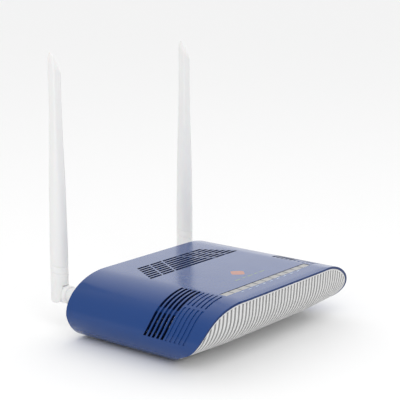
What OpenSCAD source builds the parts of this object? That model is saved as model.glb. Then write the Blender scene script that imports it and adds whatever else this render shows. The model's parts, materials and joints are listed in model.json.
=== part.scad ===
// Optical network terminal: a desk-top fibre gateway with a wrap-around top shell, a ribbed front
// fascia, a rear panel of sockets and two swivelling, folding antennas.
// Frame: origin on the desk under the middle of the whole, +X to the right, +Y to the rear, +Z up.

/* [Case] */
// Overall width of the case
case_w = 187; // [175:1:200]
// Depth of the case, front lip to rear edge
case_d = 134.1; // [132:0.1:142]
// Height of the top face above the desk
case_top = 48; // [46:0.5:52]
// Gap between the desk and the underside, filled by the feet
foot_gap = 1.7; // [1:0.1:2]
// Wall thickness of the top shell
shell_wall = 2.4; // [2:0.1:2.6]
// Half width of the flat stretch of the top face
top_flat = 51.2; // [46:0.1:54]
// Height of the widest level above the underside
waist_h = 19.4; // [18:0.1:21]
// Inward reach of the lower end curve
under_reach = 17.3; // [15:0.1:18]

/* [Front] */
// How far the front face leans back between its lip and the chin
chin_back = 4.4; // [2:0.1:5]
// Height of the chin above the underside
chin_h = 20; // [18:0.1:24]
// Radius of the chin
chin_r = 38; // [15:1:42]
// How far behind the lip the sloped underside meets the flat underside
under_back = 41.6; // [38:0.1:44]
// How far the lip sweeps back at the two ends
end_sweep = 2; // [0:0.1:4]
// Spacing of the fascia ribs and of the side slots
rib_pitch = 3.93; // [3.9:0.01:4.0]
// Number of grooves between the fascia ribs
rib_count = 46; // [40:1:46]
// Width of one groove
groove_w = 1.7; // [1:0.1:2.2]
// Depth of one groove
groove_deep = 0.7; // [0.4:0.1:0.9]

/* [Vents] */
// Rows in the central vent
vent_rows = 7; // [3:1:7]
// Spacing of the vent rows
vent_pitch = 4.1; // [3.8:0.1:4.3]
// Height of one vent row, front to rear
vent_w = 2.1; // [1.5:0.1:2.6]
// Open slots on each side
open_slots = 5; // [0:1:10]
// Slots on each side, open and blind together
side_slots = 10; // [5:1:10]
// Width of one side slot
slot_w = 1.9; // [1.2:0.1:2.2]

/* [Lamps] */
// Number of lamp windows
lamp_count = 11; // [4:1:11]
// Length of the whole lamp window strip
lamp_strip = 106; // [90:1:106]
// Width of the strip, front to rear
lamp_w = 6.2; // [5:0.1:6.4]

/* [Antennas] */
// Distance of each antenna from the middle of the case
antenna_x = 75; // [73:0.5:76]
// Distance of the folding axis behind the rear edge of the case
antenna_back = 24.6; // [24:0.1:28]
// Height of the folding axis above the desk
antenna_z = 29.1; // [27:0.1:30]
// Height of the antenna tip above the folding axis
antenna_len = 182.6; // [150:0.1:200]
// Radius of the antenna at its foot
antenna_r = 6.85; // [6.5:0.05:7]
// Thickness of the hinge tongue
tongue_w = 6; // [5.5:0.1:6.5]
// Radius of the hinge pins
pin_r = 1.5; // [1.2:0.1:1.6]

/* [Hidden] */
$fn = 48;
eps = 0.01;

// case
half_w = case_w / 2;
front_y = -(case_d + antenna_back + antenna_r) / 2;
rear_y = front_y + case_d;
mid_y = (front_y + rear_y) / 2;
// The lip: where the top starts to slope down to it, by how much, its rounding and its thickness
crease_back = 4.1;
lip_drop = 0.35;
lip_r = 0.5;
rim_wall = 1.5;
rim_deep = 5;
// At the two ends the chin and the toe stand a little further forward than in the middle
end_chin_back = 3.8;
end_under_back = 41;
under_z = foot_gap;
body_h = case_top - under_z;
waist_z = under_z + waist_h;
cavity_gap = shell_wall + 0.25;
fascia_gap = rim_wall + 0.25;
tray_half = 73.3;
lip_half = 73.6;
tray_front = mid_y - 27;
floor_t = 2;
floor_top = under_z + floor_t;
panel_t = 2;
panel_y = rear_y - 2.4;
panel_out = panel_y + panel_t;
curve_steps = 18;

// board and its sockets
board_half = 64.2;
board_front = mid_y - 32;
board_rear = mid_y + 64.5;
board_t = 1.6;
board_z = 9.4;
deck = board_z + board_t;
socket_face = rear_y - 0.2;
switch_x = 58.2;
power_x = 47.6;
reset_x = 39.4;
usb_x = 29.2;
lan_x = -8.6;
lan_pitch = 14.2;
lan_ports = 4;
phone_x = -45.2;
fibre_x = -58.3;
fibre_z = deck + 8;
dc_z = deck + 6.3;
switch_z = deck + 5.5;
reset_z = deck + 4;
usb_z = deck + 4.2;
jack_floor = deck + 2.2;
jack_top = deck + 13.2;
jack_deep = 12.4;
lan_w = 11.8;
lan_h = 6.9;
lan_half = (lan_ports - 1) / 2 * lan_pitch + 7.5;
phone_w = 9.8;
phone_h = 6.6;
side_button_y = [mid_y + 22, mid_y + 36];
side_button_z = deck + 5;
button_r = 2.6;

// fasteners and feet
case_screws_at = [for (x = [-68.5, 68.5], y = [mid_y - 15, mid_y + 50]) [x, y]];
board_screws_at = [for (p = [[-58, -21], [58, -21], [-48, 38], [48, 38]]) p + [0, mid_y]];
feet = [for (x = [-57, 57], y = [mid_y - 12, mid_y + 53]) [x, y]];
foot_r = 6;
foot_sink = 0.6;
key_spacing = 110;
key_y = mid_y + 18;

// slots and vent, measured from the front lip and from the underside
vent_front = 86.8;
slot_rear = 52.5;
slot_low = 20.6;
slot_top_x = 55.8;
bridge_low = 35.9;
bridge_high = 38.5;
bridge_deep = 1;
split_low = 40.6;
split_high = 41.6;
blind_w = 1.4;
blind_deep = 0.9;
faint_deep = 0.6;

// lamps
lamp_y = front_y + 18.6;
lamp_pitch = lamp_strip / lamp_count;
lamp_board_y = board_front + 2.4;

// antennas
hinge_y = rear_y + antenna_back;
collar_r = 5.5;
disc_r = 7;
disc_y = hinge_y - 11.6;
tongue_root = hinge_y - 7.4;
tongue_r = 6.4;
ear_gap = 0.3;
stub_r = 4;
run_gap = 0.05;
coax_r = 0.9;
coax_bore = 1.5;
coax_turn = 4.5;
coax_sides = 8;

// Height share along the antenna, half width, half depth, squareness and tip tilt
antenna_stations = [
    [0.20, 0.985, 0.985, 2.0, 0], [0.30, 0.97, 0.96, 2.1, 0], [0.42, 0.88, 0.86, 2.4, 0],
    [0.54, 0.78, 0.72, 3.0, 0], [0.66, 0.66, 0.60, 4.0, 0], [0.78, 0.60, 0.53, 5.0, 0],
    [0.90, 0.60, 0.53, 5.5, 0], [0.955, 0.60, 0.52, 5.5, 0.45], [0.972, 0.54, 0.47, 4.5, 0.75],
    [0.984, 0.42, 0.37, 3.5, 0.85], [0.992, 0.24, 0.21, 2.6, 0.9]];

// Corners of the right-hand lead: up from the board, across to the swivel and along its bore
coax_route = [[56, mid_y + 18, deck + 0.6], [56, mid_y + 18, 24], [antenna_x - 5, mid_y + 40, antenna_z],
    [antenna_x, mid_y + 47, antenna_z], [antenna_x, hinge_y - 4, antenna_z]];

// ---- outline functions ----

function unit(v) = v / norm(v);

// Corner b between a and c, moved inward by t
function inset_corner(a, b, c, t) =
    let (u = unit(a - b), v = unit(c - b), half = acos(u * v) / 2)
    b + unit(u + v) * t / sin(half);

// Points of an arc of radius r that rounds corner b
function round_corner(a, b, c, r, steps = 10) =
    let (u = unit(a - b), v = unit(c - b), half = acos(u * v) / 2,
        mid = b + unit(u + v) * r / sin(half),
        e0 = unit(b + u * r / tan(half) - mid), e1 = unit(b + v * r / tan(half) - mid),
        sweep = acos(e0 * e1))
    [for (k = [0:steps]) let (s = k / steps)
        mid + r * (e0 * sin((1 - s) * sweep) + e1 * sin(s * sweep)) / sin(sweep)];

// A quarter curve about mid with half axes a and b; power 2 is an ellipse
function quarter(mid, a, b, power, steps = curve_steps) =
    [for (k = [0:steps]) let (t = 90 * k / steps)
        [mid[0] + a * pow(cos(t), 2 / power), mid[1] + b * pow(sin(t), 2 / power)]];

function mirrored(points) = [for (k = [len(points) - 1:-1:0]) [-points[k][0], points[k][1]]];

// The case seen from the front, as [x, z], inset by t
function end_outline(t) =
    let (lower = quarter([half_w - under_reach, 0], under_reach - t, waist_h - t, 1.6),
        upper = quarter([top_flat, 0], half_w - top_flat - t, body_h - waist_h - t, 2),
        right = concat([for (k = [curve_steps:-1:1]) [lower[k][0], waist_z - lower[k][1]]],
            [for (p = upper) [p[0], waist_z + p[1]]]))
    concat(right, mirrored(right));

// The case seen from the side, as [y, z]: a front profile inset by t, with its lip, chin and toe
function side_outline(t, lip_y, chin_y, toe_y) =
    let (lip = [front_y + lip_y, case_top - lip_drop], chin = [front_y + chin_y, under_z + chin_h],
        toe = [front_y + toe_y, under_z], heel = [rear_y + 20, under_z], crown = [rear_y + 20, case_top],
        lip_t = lip + [t * norm([1, (chin_y - lip_y) / (lip[1] - chin[1])]), 0],
        chin_t = inset_corner(lip, chin, toe, t), toe_t = toe + [t * norm([1, (toe_y - chin_y) / chin_h]), 0],
        crease = [max(front_y + crease_back, lip_t[0] + 1), case_top])
    concat([crease], round_corner(crease, lip_t, chin_t, lip_r, 3),
        round_corner(lip_t, chin_t, toe_t, chin_r - t, 10),
        round_corner(chin_t, toe_t, heel, 12, 4),
        [heel, crown]);

// The case seen from above, as [x, y], with its front inset by t
function plan_outline(t) =
    let (mid = [0, front_y + t], bend = [50, front_y + t], tip = [half_w + 6, front_y + 5 + t],
        right = concat(round_corner(mid, bend, tip, 80, 6), [tip, [half_w + 6, rear_y + 20]]))
    concat(right, mirrored(right));

// How far a side slot bends back at a height above the underside
function slot_bend(h) = pow(max(0, 33.5 - h), 2) / 45;

// One side slot seen from the side, as [y, z] about its own middle, between two heights
function slot_strip(h0, h1, w, steps) =
    let (levels = [for (k = [0:steps]) h0 + (h1 - h0) * k / steps])
    concat([for (h = levels) [slot_bend(h) - w / 2, under_z + h]],
        [for (k = [steps:-1:0]) [slot_bend(levels[k]) + w / 2, under_z + levels[k]]]);

// ---- shared solids ----

// An outline given as [x, z], drawn out along Y
module along_y(points, y0, y1)
    translate([0, y1, 0]) rotate([90, 0, 0]) linear_extrude(y1 - y0) polygon(points);

// An outline given as [y, z], drawn out along X
module along_x(points, x0, x1)
    translate([x0, 0, 0]) rotate([90, 0, 90]) linear_extrude(x1 - x0) polygon(points);

module block(x0, x1, y0, y1, z0, z1)
    translate([x0, y0, z0]) cube([x1 - x0, y1 - y0, z1 - z0]);

module rod_y(x, z, r, y0, y1)
    translate([x, y1, z]) rotate([90, 0, 0]) cylinder(r = r, h = y1 - y0);

module rod_x(y, z, r, x0, x1)
    translate([x0, y, z]) rotate([0, 90, 0]) cylinder(r = r, h = x1 - x0);

module rod_z(x, y, r, z0, z1)
    translate([x, y, z0]) cylinder(r = r, h = z1 - z0);

// The front of the case, inset by t: everything that lies behind the lip and the chin
module behind_front(t, reach = half_w + 1)
    union() {
        along_x(side_outline(t, end_sweep, end_chin_back, end_under_back), -reach, reach);
        intersection() {
            along_x(side_outline(t, 0, chin_back, under_back), -reach, reach);
            translate([0, 0, -5]) linear_extrude(case_top + 20) polygon(plan_outline(t));
        }
    }

// ---- case ----

// One row of the central vent: two short slots, a long one and two short ones, with slanted ends
module vent_row(row)
    let (y = front_y + vent_front + row * vent_pitch, half = vent_w / 2, slant = -0.567,
        shift = slant * row * vent_pitch, lean = slant * half)
    for (edge = [[52.6, 39.6], [38.0, 24.9], [23.2, 0]], side = [-1, 1])
        let (far = edge[0] + shift, near = edge[1] > 0 ? edge[1] + shift : 0, slip = edge[1] > 0 ? lean : 0)
        translate([0, y, case_top - shell_wall - 1]) linear_extrude(shell_wall + 2)
            polygon([[side * (near - slip), -half], [side * (far - lean), -half],
                [side * (far + lean), half], [side * (near + slip), half]]);

// A slot down one side, cut from the outside to the given depth, between two heights
module side_slot(row, deep, w, x0, h0, h1, steps)
    let (y = front_y + slot_rear - row * rib_pitch)
    intersection() {
        translate([0, y, 0]) along_x(slot_strip(h0, h1, w, steps), x0, half_w + 1);
        difference() {
            block(0, half_w + 2, y - 3, y + 9, under_z, case_top + 2);
            along_y(end_outline(deep), y - 4, y + 10);
        }
    }

module side_vents() {
    through = shell_wall + 3;
    above = body_h + 1;
    for (side = [0, 1]) mirror([side, 0, 0]) {
        for (row = [0:1:open_slots - 1]) {
            side_slot(row, through, slot_w, slot_top_x, bridge_high, above, 1);
            side_slot(row, bridge_deep, slot_w, slot_top_x, bridge_low - eps, bridge_high + eps, 1);
            side_slot(row, through, slot_w, slot_top_x, slot_low, bridge_low, 6);
        }
        for (row = [open_slots:1:side_slots - 1]) {
            side_slot(row, blind_deep, blind_w, slot_top_x, split_high, above, 1);
            side_slot(row, faint_deep, slot_w, slot_top_x, slot_low, split_low, 6);
        }
    }
}

module shell_bosses()
    for (p = case_screws_at) difference() {
        rod_z(p[0], p[1], 3.4, 8.2, waist_z + 26);
        rod_z(p[0], p[1], 1.45, 8, 24);
    }

module top_shell() color("#2B4C82") {
    difference() {
        intersection() {
            along_y(end_outline(0), front_y - 1, rear_y);
            behind_front(0);
        }
        along_y(end_outline(shell_wall), front_y - 10, rear_y + 1);
        difference() {
            along_y(end_outline(rim_wall), front_y - 10, tray_front);
            behind_front(rim_deep);
        }
        block(-lip_half, lip_half, front_y - 10, rear_y + 1, -1, waist_z);
        for (row = [0:vent_rows - 1]) vent_row(row);
        side_vents();
        block(-lamp_strip / 2 - 0.2, lamp_strip / 2 + 0.2, lamp_y - lamp_w / 2 - 0.1,
            lamp_y + lamp_w / 2 + 0.1, case_top - shell_wall - 1, case_top + 1);
        for (y = side_button_y) rod_x(y, side_button_z, button_r + 0.3, 80, half_w + 2);
    }
    intersection() {
        shell_bosses();
        along_y(end_outline(shell_wall), front_y, rear_y);
    }
}

// The ribbed front: a curved sheet behind the lip, with upright grooves
module front_fascia() color("#E4E4E4") {
    set_back = 0.4;
    sheet = 2.2;
    difference() {
        intersection() {
            along_y(end_outline(fascia_gap), front_y - 1, tray_front + 2.6);
            behind_front(set_back, half_w);
        }
        behind_front(set_back + sheet, half_w);
        block(-half_w, half_w, tray_front - 0.2, 0, -1, floor_top + 0.1);
        for (side = [0, 1]) mirror([side, 0, 0])
            block(tray_half - 2.3, half_w, tray_front - 0.2, 0, -1, case_top);
        intersection() {
            for (k = [0:rib_count - 1]) let (x = (k - (rib_count - 1) / 2) * rib_pitch)
                block(x - groove_w / 2, x + groove_w / 2, front_y - 1, tray_front - 4, 0, case_top);
            along_y(end_outline(fascia_gap + 1.1), front_y - 2, 0);
            difference() {
                block(-half_w, half_w, front_y - 2, 0, under_z + 1, case_top);
                behind_front(set_back + groove_deep, half_w + 2);
            }
        }
    }
    for (x = [-45, 0, 45]) block(x - 6, x + 6, tray_front - 3, tray_front + 8, floor_top + 0.1, floor_top + 1.7);
}

module keyhole(x)
    union() {
        rod_z(x, key_y, 3.6, 0, floor_top + 1);
        block(x - 1.8, x + 1.8, key_y, key_y + 8, 0, floor_top + 1);
        rod_z(x, key_y + 8, 1.8, 0, floor_top + 1);
    }

module base_tray() color("#DADADA") {
    flange_t = 1.8;
    flange_top = 9;
    post_top = 8;
    difference() {
        union() {
            block(-tray_half, tray_half, tray_front, panel_y - 0.2, under_z, floor_top);
            for (side = [0, 1]) mirror([side, 0, 0])
                block(tray_half - 2, tray_half, tray_front, panel_y - 0.2, under_z,
                    under_z + cavity_gap + flange_t);
            intersection() {
                difference() {
                    along_y(end_outline(cavity_gap), tray_front, panel_y - 0.2);
                    along_y(end_outline(cavity_gap + flange_t), tray_front - 1, panel_y);
                    block(-tray_half + 2, tray_half - 2, tray_front - 1, panel_y, 0, case_top);
                }
                block(-half_w, half_w, tray_front - 1, panel_y, 0, flange_top);
            }
            for (p = board_screws_at) rod_z(p[0], p[1], 3, floor_top - eps, board_z);
            for (p = case_screws_at) rod_z(p[0], p[1], 4.2, floor_top - eps, post_top);
        }
        for (p = board_screws_at) rod_z(p[0], p[1], 1.25, floor_top + 0.5, board_z + 1);
        for (p = case_screws_at) {
            rod_z(p[0], p[1], 1.7, 0, post_top + 1);
            rod_z(p[0], p[1], 3.2, 0, 5);
        }
        for (p = feet) rod_z(p[0], p[1], foot_r, 0, under_z + foot_sink);
        for (x = [-key_spacing / 2, key_spacing / 2]) keyhole(x);
        for (side = [0, 1], k = [0:9]) mirror([side, 0, 0])
            block(8, 36, mid_y - 18 + k * 4.4, mid_y - 16 + k * 4.4, 0, floor_top + 1);
    }
}

// An eight-way jack seen from the rear, as [x, z] about its own middle: the plug's way in
function jack_mouth(w, h) =
    [[-w / 2, 0], [w / 2, 0], [w / 2, h], [3, h], [3, h + 1.6], [1.6, h + 1.6], [1.6, h + 2.8],
        [-1.6, h + 2.8], [-1.6, h + 1.6], [-3, h + 1.6], [-3, h], [-w / 2, h]];

function lan_port_x(k) = lan_x + (k - (lan_ports - 1) / 2) * lan_pitch;

module rear_panel() color("#E4E4E4") {
    difference() {
        union() {
            along_y(end_outline(cavity_gap), panel_y, panel_out);
            block(-tray_half, tray_half, panel_y, panel_out, under_z, waist_z);
        }
        block(lan_x - lan_half - 0.2, lan_x + lan_half + 0.2, panel_y - 1, rear_y, deck - 0.2, jack_top + 0.2);
        block(phone_x - 6.5, phone_x + 6.5, panel_y - 1, rear_y, deck - 0.2, jack_top + 0.2);
        block(usb_x - 7.1, usb_x + 7.1, panel_y - 1, rear_y, usb_z - 3.6, usb_z + 3.6);
        block(fibre_x - 5.9, fibre_x + 5.9, panel_y - 1, rear_y, fibre_z - 5.4, fibre_z + 5.4);
        rod_y(power_x, dc_z, 4.3, panel_y - 1, rear_y);
        block(switch_x - 3.8, switch_x + 3.8, panel_y - 1, rear_y, switch_z - 3.8, switch_z + 3.8);
        rod_y(reset_x, reset_z, 1.2, panel_y - 1, rear_y);
        for (side = [-1, 1]) rod_y(side * antenna_x, antenna_z, stub_r + run_gap, panel_y - 1, rear_y);
        for (k = [0:13]) block(-53 + k * 8, -49.5 + k * 8, panel_y - 1, rear_y, 32, 40);
    }
}

// ---- lamps ----

// Eleven windows in one clear bar, each fed by a leg that reaches down to its own lamp
module light_guide() color("#E8EAEC", 0.9) {
    bar_top = case_top - 0.25;
    bar_low = case_top - shell_wall + 0.1;
    leg = [[lamp_board_y - 1.5, deck + 1.6], [lamp_board_y + 1.5, deck + 1.6],
        [lamp_board_y + 1.5, deck + 16], [lamp_y + 2, bar_low - 5], [lamp_y + 2, bar_low + eps],
        [lamp_y - 2, bar_low + eps], [lamp_y - 2, bar_low - 6], [lamp_board_y - 1.5, deck + 15]];
    difference() {
        block(-lamp_strip / 2, lamp_strip / 2, lamp_y - lamp_w / 2, lamp_y + lamp_w / 2, bar_low, bar_top);
        for (k = [1:lamp_count - 1]) let (x = -lamp_strip / 2 + k * lamp_pitch)
            block(x - 0.35, x + 0.35, lamp_y - lamp_w, lamp_y + lamp_w, bar_top - 0.8, case_top);
    }
    for (k = [0:lamp_count - 1]) let (x = (k - (lamp_count - 1) / 2) * lamp_pitch)
        along_x(leg, x - 1.8, x + 1.8);
}

module status_lamps() color("#F4F0C8")
    for (k = [0:lamp_count - 1]) let (x = (k - (lamp_count - 1) / 2) * lamp_pitch)
        block(x - 1, x + 1, lamp_board_y - 0.7, lamp_board_y + 0.7, deck, deck + 1.1);

// ---- board and sockets ----

module main_board() color("#1F5A3A") difference() {
    block(-board_half, board_half, board_front, board_rear, board_z, deck);
    for (p = board_screws_at) rod_z(p[0], p[1], 1.5, 0, 20);
    for (p = case_screws_at) rod_z(p[0], p[1], 4.8, 0, 20);
}

module lan_jacks() color("#2A2C30") difference() {
    block(lan_x - lan_half, lan_x + lan_half, socket_face - 16, socket_face, deck, jack_top);
    for (k = [0:lan_ports - 1]) translate([lan_port_x(k), 0, 0])
        along_y([for (p = jack_mouth(lan_w, lan_h)) p + [0, jack_floor]], socket_face - jack_deep,
            socket_face + 1);
}

// Spring contacts that slant up from the floor of a jack towards its back
module contacts(x, count, pitch)
    for (k = [0:count - 1]) let (cx = x + (k - (count - 1) / 2) * pitch, back = socket_face - jack_deep)
        along_x([[back, jack_floor + 0.5], [back + 9, jack_floor + 0.1], [back + 9, jack_floor + 0.4],
            [back + 1, jack_floor + 1.6], [back, jack_floor + 1.6]], cx - 0.22, cx + 0.22);

module lan_contacts() color("#D4AF37")
    for (k = [0:lan_ports - 1]) contacts(lan_port_x(k), 8, 1.02);

module phone_jack() color("#2A2C30") difference() {
    block(phone_x - 6.3, phone_x + 6.3, socket_face - 16, socket_face, deck, jack_top);
    translate([phone_x, 0, 0])
        along_y([for (p = jack_mouth(phone_w, phone_h)) p + [0, jack_floor]], socket_face - jack_deep,
            socket_face + 1);
}

module phone_contacts() color("#D4AF37") contacts(phone_x, 4, 1.02);

module usb_socket() color("#C4C6C8") difference() {
    block(usb_x - 6.9, usb_x + 6.9, socket_face - 14, socket_face, usb_z - 3.4, usb_z + 3.4);
    block(usb_x - 6.4, usb_x + 6.4, socket_face - 13, socket_face + 1, usb_z - 2.6, usb_z + 2.9);
}

module usb_tongue() color("#F0F0F0")
    block(usb_x - 5.7, usb_x + 5.7, socket_face - 13, socket_face - 1.2, usb_z + 0.7, usb_z + 2.3);

module dc_socket() color("#1C1D20") difference() {
    union() {
        block(power_x - 4.5, power_x + 4.5, socket_face - 14, panel_y - 0.1, deck, dc_z + 4.7);
        rod_y(power_x, dc_z, 4.1, panel_y - 0.2, socket_face);
    }
    rod_y(power_x, dc_z, 3.2, socket_face - 10, socket_face + 1);
}

module dc_pin() color("#C8C8C8") rod_y(power_x, dc_z, 1, socket_face - 10, socket_face - 1);

module power_switch() color("#26282C") difference() {
    block(switch_x - 4.3, switch_x + 4.3, socket_face - 17, panel_y - 0.3, deck, deck + 9.8);
    block(switch_x - 2.7, switch_x + 2.7, socket_face - 10, panel_y, switch_z - 2.7, switch_z + 2.7);
}

module power_button() color("#26282C") {
    block(switch_x - 3.5, switch_x + 3.5, panel_y + 2.1, rear_y + 2.6, switch_z - 3.5, switch_z + 3.5);
    block(switch_x - 2.4, switch_x + 2.4, socket_face - 7, panel_y + 2.2, switch_z - 2.4, switch_z + 2.4);
}

module reset_switch() color("#26282C") difference() {
    block(reset_x - 3, reset_x + 3, socket_face - 12, socket_face - 8, deck, deck + 7);
    rod_y(reset_x, reset_z, 1.3, socket_face - 9.4, socket_face);
}

module reset_plunger() color("#E0E0E0") rod_y(reset_x, reset_z, 1.2, socket_face - 8.6, socket_face - 6.4);

module fibre_adapter() color("#3F9B5B") difference() {
    union() {
        block(fibre_x - 5.7, fibre_x + 5.7, socket_face - 13, socket_face, fibre_z - 5.2, fibre_z + 5.2);
        block(fibre_x - 5.7, fibre_x + 5.7, socket_face - 13, socket_face - 9, deck, fibre_z);
    }
    block(fibre_x - 4.5, fibre_x + 4.5, socket_face - 11.5, socket_face + 1, fibre_z - 3.7, fibre_z + 3.7);
    block(fibre_x - 1.2, fibre_x + 1.2, socket_face - 11.5, socket_face + 1, fibre_z + 3, fibre_z + 4.4);
    rod_y(fibre_x, fibre_z, 1.6, socket_face - 14, socket_face - 11);
}

module fibre_ferrule() color("#F6F4EC") difference() {
    rod_y(fibre_x, fibre_z, 1.6, socket_face - 13, socket_face - 5);
    rod_y(fibre_x, fibre_z, 1.25, socket_face - 9, socket_face);
}

module optical_module() color("#B9A56A") {
    rod_y(fibre_x, fibre_z, 3, socket_face - 20, socket_face - 13.1);
    block(fibre_x - 4.5, fibre_x + 4.5, socket_face - 30, socket_face - 19.9, fibre_z - 4, fibre_z + 4);
    rod_y(fibre_x, fibre_z, 2.5, socket_face - 37, socket_face - 29.9);
    rod_x(socket_face - 25, fibre_z, 2.5, fibre_x + 4.4, fibre_x + 9);
}

module side_switches() color("#26282C")
    for (y = side_button_y) difference() {
        block(board_half - 7, board_half - 1, y - 3, y + 3, deck, deck + 7.4);
        rod_x(y, side_button_z, 1.8, board_half - 3, board_half);
    }

// A push button in the right-hand wall: a cap, a flange behind the wall and a stem to its switch
module side_button(y) color("#2B4C82") {
    rod_x(y, side_button_z, button_r, half_w - 8, half_w - 0.1);
    rod_x(y, side_button_z, 3.6, half_w - 8, half_w - 6.8);
    rod_x(y, side_button_z, 1.5, board_half - 2, half_w - 7.9);
}

module wifi_button() side_button(side_button_y[0]);
module wps_button() side_button(side_button_y[1]);

// A boxed component on the board, placed from the middle of the case
module chip(x, y, w, d, h)
    block(x - w / 2, x + w / 2, mid_y + y - d / 2, mid_y + y + d / 2, deck, deck + h);

module main_chip() color("#2C2E31") chip(0, 8, 19, 19, 1.6);

module thermal_pad() color("#8FA3B0")
    block(-9, 9, mid_y - 1, mid_y + 17, deck + 1.6, deck + 2.2);

module heat_sink() color("#8D9095") {
    low = deck + 2.2;
    block(-15, 15, mid_y - 7, mid_y + 23, low, low + 2);
    for (k = [0:8]) block(-15 + k * 3.6, -13.8 + k * 3.6, mid_y - 7, mid_y + 23, low + 2 - eps, low + 9);
}

module memory_chips() color("#2C2E31") {
    chip(-24, 2, 9, 13, 1.1);
    chip(24, 18, 8, 6, 1.5);
}

module wifi_shields() color("#BFC2C4") {
    chip(-42, 6, 24, 26, 3);
    chip(42, 2, 24, 24, 3);
}

module lan_transformers() color("#202225") {
    for (x = [-22, 5]) chip(x, 41, 17, 12, 6);
}

module phone_line_chip() color("#2C2E31") chip(-42, 28, 8, 8, 1);

module power_coils() color("#3A3A3D") {
    chip(32, 34, 7, 7, 4);
    chip(23, 34, 5, 5, 3);
}

module capacitors() color("#4A4F57")
    for (p = [[39, 44, 4], [30, 44, 3], [51, 26, 3]]) rod_z(p[0], mid_y + p[1], p[2], deck, deck + 11);

module antenna_sockets() color("#D4AF37")
    for (x = [-56, 56]) difference() {
        rod_z(x, mid_y + 18, 1.6, deck, deck + 1.4);
        rod_z(x, mid_y + 18, coax_r, deck + 0.6, deck + 2);
    }

// ---- fasteners, feet and label ----

module screw(x, y, seat, head_r, head_h, shank_r, reach, up)
    translate([x, y, seat]) mirror([0, 0, up ? 1 : 0]) difference() {
        union() {
            cylinder(r = head_r, h = head_h);
            translate([0, 0, -reach]) cylinder(r = shank_r, h = reach + eps);
        }
        for (a = [0, 90]) rotate(a) translate([-head_r * 0.7, -0.35, head_h - 0.8])
            cube([head_r * 1.4, 0.7, 1]);
    }

module board_screws() color("#B9BCBF")
    for (p = board_screws_at) screw(p[0], p[1], deck, 2.5, 1.5, 1.25, 6, false);

module case_screws() color("#B9BCBF")
    for (p = case_screws_at) screw(p[0], p[1], 5, 2.8, 1.8, 1.45, 14, true);

module rubber_feet() color("#2E3033")
    for (p = feet) {
        rod_z(p[0], p[1], foot_r - 0.1, 0.5, under_z + foot_sink);
        translate([p[0], p[1], 0]) cylinder(r1 = foot_r - 0.8, r2 = foot_r - 0.1, h = 0.5);
    }

module rating_label() color("#F2F2F2")
    block(-24, 24, mid_y + 34, mid_y + 60, under_z - 0.15, under_z);

// ---- antennas ----

// A superellipse ring of the antenna, tilted by the slope of its tip
function ring(z, hx, hy, power, tilt, steps = 28) =
    [for (k = [0:steps - 1]) let (a = 360 * k / steps, c = cos(a), s = sin(a),
        x = hx * sign(c) * pow(abs(c), 2 / power), y = hy * sign(s) * pow(abs(s), 2 / power))
        [x, y, z + tilt * (y - x)]];

module antenna_horn() {
    steps = 28;
    count = len(antenna_stations);
    rings = [for (s = antenna_stations) each ring(s[0] * antenna_len, s[1] * antenna_r,
        s[2] * antenna_r, s[3], s[4], steps)];
    cap = [[0, 0, 0.20 * antenna_len], [-0.4, 0.4, 0.997 * antenna_len]];
    sides = [for (r = [0:count - 2], k = [0:steps - 1]) let (a = r * steps + k,
        b = r * steps + (k + 1) % steps)
        each [[a, b, a + steps], [b, b + steps, a + steps]]];
    low = count * steps;
    polyhedron(points = concat(rings, cap), faces = concat([for (f = sides) [f[0], f[2], f[1]]],
        [for (k = [0:steps - 1]) [k, (k + 1) % steps, low]],
        [for (k = [0:steps - 1]) [low - steps + (k + 1) % steps, low - steps + k, low + 1]]));
}

// The outer cover: a round fork at the foot, drawn up into a slim, squarish blade with an oblique tip
module antenna_cover() color("#EDEDED")
    translate([0, hinge_y, antenna_z]) difference() {
        union() {
            intersection() {
                translate([0, 0, -antenna_r]) cylinder(r = antenna_r, h = antenna_r + 0.208 * antenna_len);
                union() {
                    rod_x(0, 0, antenna_r, -10, 10);
                    block(-10, 10, -10, 10, 0, 60);
                }
            }
            antenna_horn();
        }
        block(-tongue_w / 2 - ear_gap / 2, tongue_w / 2 + ear_gap / 2, -10, 10, -10, tongue_r + 0.6);
        rod_x(0, 0, pin_r, -6, 6);
        rod_z(0, 0, 1.5, 0, 22);
        rod_z(0, 0, 4.6, 20, 70);
        rod_z(0, 0, 2.8, 69, 155);
        for (z = [17.4, 22.9]) antenna_groove(z);
    }

// A thin slanted line around the antenna
module antenna_groove(z)
    difference() {
        translate([0, 0, z]) rotate([17, 0, 0]) cube([20, 24, 0.5], center = true);
        cylinder(r = antenna_r - 0.3, h = 60);
    }

module hinge_pins() color("#C8CACC")
    for (side = [0, 1]) mirror([side, 0, 0]) rod_x(hinge_y, antenna_z, pin_r, 1.6, 6);

module antenna_strip() color("#1F5A3A")
    block(-2.2, 2.2, hinge_y - 0.5, hinge_y + 0.5, antenna_z + 40, antenna_z + 150);

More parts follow.
